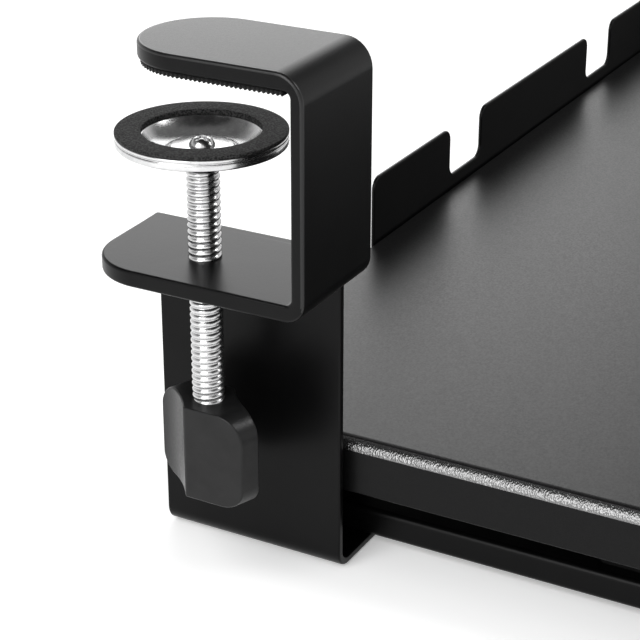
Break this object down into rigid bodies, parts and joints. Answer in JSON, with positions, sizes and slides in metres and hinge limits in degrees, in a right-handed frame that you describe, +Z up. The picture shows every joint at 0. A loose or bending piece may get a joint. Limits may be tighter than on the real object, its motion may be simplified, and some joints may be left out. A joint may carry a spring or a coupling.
{
  "type": "keyboard tray",
  "caption": "Clamp-on keyboard tray: a black board with a notched rear fence slides on roller rails between drop brackets hung from screw clamps on a desk edge.",
  "frame": {"origin": "midway between the clamps, where the edge of the desk meets its top: on the inner faces of the spines and level with the undersides of the upper pads", "axes": "+X to the user's right along the desk edge, +Y away from the user into the desk, +Z up"},
  "size_m": [0.697, 0.3015, 0.1725],
  "materials": {
    "powder_coat": "satin black powder coat with a very fine texture",
    "board_foil": "fibreboard in fine-grained matt black foil",
    "zinc_plate": "bright zinc plate",
    "foam": "black closed-cell foam",
    "rubber": "matt black ribbed rubber",
    "knob_plastic": "matt moulded plastic with a spark-eroded texture",
    "cap_plastic": "matt black moulded plastic",
    "nylon": "natural nylon"
  },
  "bodies": {
    "clamps": {"left_clamp_frame": "powder_coat", "left_upper_pad": "rubber", "left_weld_nut": "powder_coat", "left_drop_bracket": "powder_coat", "left_carriage": "zinc_plate", "left_carriage_screws": "zinc_plate", "right_clamp_frame": "powder_coat", "right_upper_pad": "rubber", "right_weld_nut": "powder_coat", "right_drop_bracket": "powder_coat", "right_carriage": "zinc_plate", "right_carriage_screws": "zinc_plate"},
    "tray": {"tray_board": "board_foil", "rear_fence": "powder_coat", "fence_screws": "zinc_plate", "left_rail": "powder_coat", "left_rail_stops": "cap_plastic", "left_rail_spacers": "cap_plastic", "left_rail_screws": "zinc_plate", "right_rail": "powder_coat", "right_rail_stops": "cap_plastic", "right_rail_spacers": "cap_plastic", "right_rail_screws": "zinc_plate"},
    "left_pad": {"left_swivel_cup": "zinc_plate", "left_foam_ring": "foam"},
    "left_screw": {"left_clamp_screw": "zinc_plate", "left_cup_washer": "zinc_plate", "left_cup_screw": "zinc_plate", "left_wing_knob": "knob_plastic"},
    "left_front_wheels": {"left_front_axle": "zinc_plate", "left_front_rollers": "nylon"},
    "left_rear_wheels": {"left_rear_axle": "zinc_plate", "left_rear_rollers": "nylon"},
    "right_pad": {"right_swivel_cup": "zinc_plate", "right_foam_ring": "foam"},
    "right_screw": {"right_clamp_screw": "zinc_plate", "right_cup_washer": "zinc_plate", "right_cup_screw": "zinc_plate", "right_wing_knob": "knob_plastic"},
    "right_front_wheels": {"right_front_axle": "zinc_plate", "right_front_rollers": "nylon"},
    "right_rear_wheels": {"right_rear_axle": "zinc_plate", "right_rear_rollers": "nylon"}
  },
  "joints": [
    {"name": "tray_slide", "type": "slide", "parent": "clamps", "child": "tray", "axis": [0, 1, 0], "range_m": [0, 0.223]},
    {"name": "left_pad_lift", "type": "slide", "parent": "clamps", "child": "left_pad", "axis": [0, 0, 1], "range_m": [-0.0255, 0.02]},
    {"name": "left_screw_turn", "type": "hinge", "parent": "left_pad", "child": "left_screw", "pos_m": [-0.324, 0.0395, -0.059], "axis": [0, 0, 1], "range_deg": [-4590, 3600]},
    {"name": "left_front_wheels_turn", "type": "hinge", "parent": "clamps", "child": "left_front_wheels", "pos_m": [-0.267, 0.016, -0.1584], "axis": [1, 0, 0], "continuous": true},
    {"name": "left_rear_wheels_turn", "type": "hinge", "parent": "clamps", "child": "left_rear_wheels", "pos_m": [-0.267, 0.05, -0.1584], "axis": [1, 0, 0], "continuous": true},
    {"name": "right_pad_lift", "type": "slide", "parent": "clamps", "child": "right_pad", "axis": [0, 0, 1], "range_m": [-0.0255, 0.02]},
    {"name": "right_screw_turn", "type": "hinge", "parent": "right_pad", "child": "right_screw", "pos_m": [0.324, 0.0395, -0.059], "axis": [0, 0, 1], "range_deg": [-4590, 3600]},
    {"name": "right_front_wheels_turn", "type": "hinge", "parent": "clamps", "child": "right_front_wheels", "pos_m": [0.267, 0.016, -0.1584], "axis": [1, 0, 0], "continuous": true},
    {"name": "right_rear_wheels_turn", "type": "hinge", "parent": "clamps", "child": "right_rear_wheels", "pos_m": [0.267, 0.05, -0.1584], "axis": [1, 0, 0], "continuous": true}
  ],
  "couplings": [
    {"joint": "left_screw_turn", "follows": "left_pad_lift", "rad_per_m": 3141.6},
    {"joint": "left_front_wheels_turn", "follows": "tray_slide", "rad_per_m": -303.03},
    {"joint": "left_rear_wheels_turn", "follows": "tray_slide", "rad_per_m": 303.03},
    {"joint": "right_screw_turn", "follows": "right_pad_lift", "rad_per_m": 3141.6},
    {"joint": "right_front_wheels_turn", "follows": "tray_slide", "rad_per_m": -303.03},
    {"joint": "right_rear_wheels_turn", "follows": "tray_slide", "rad_per_m": 303.03}
  ]
}
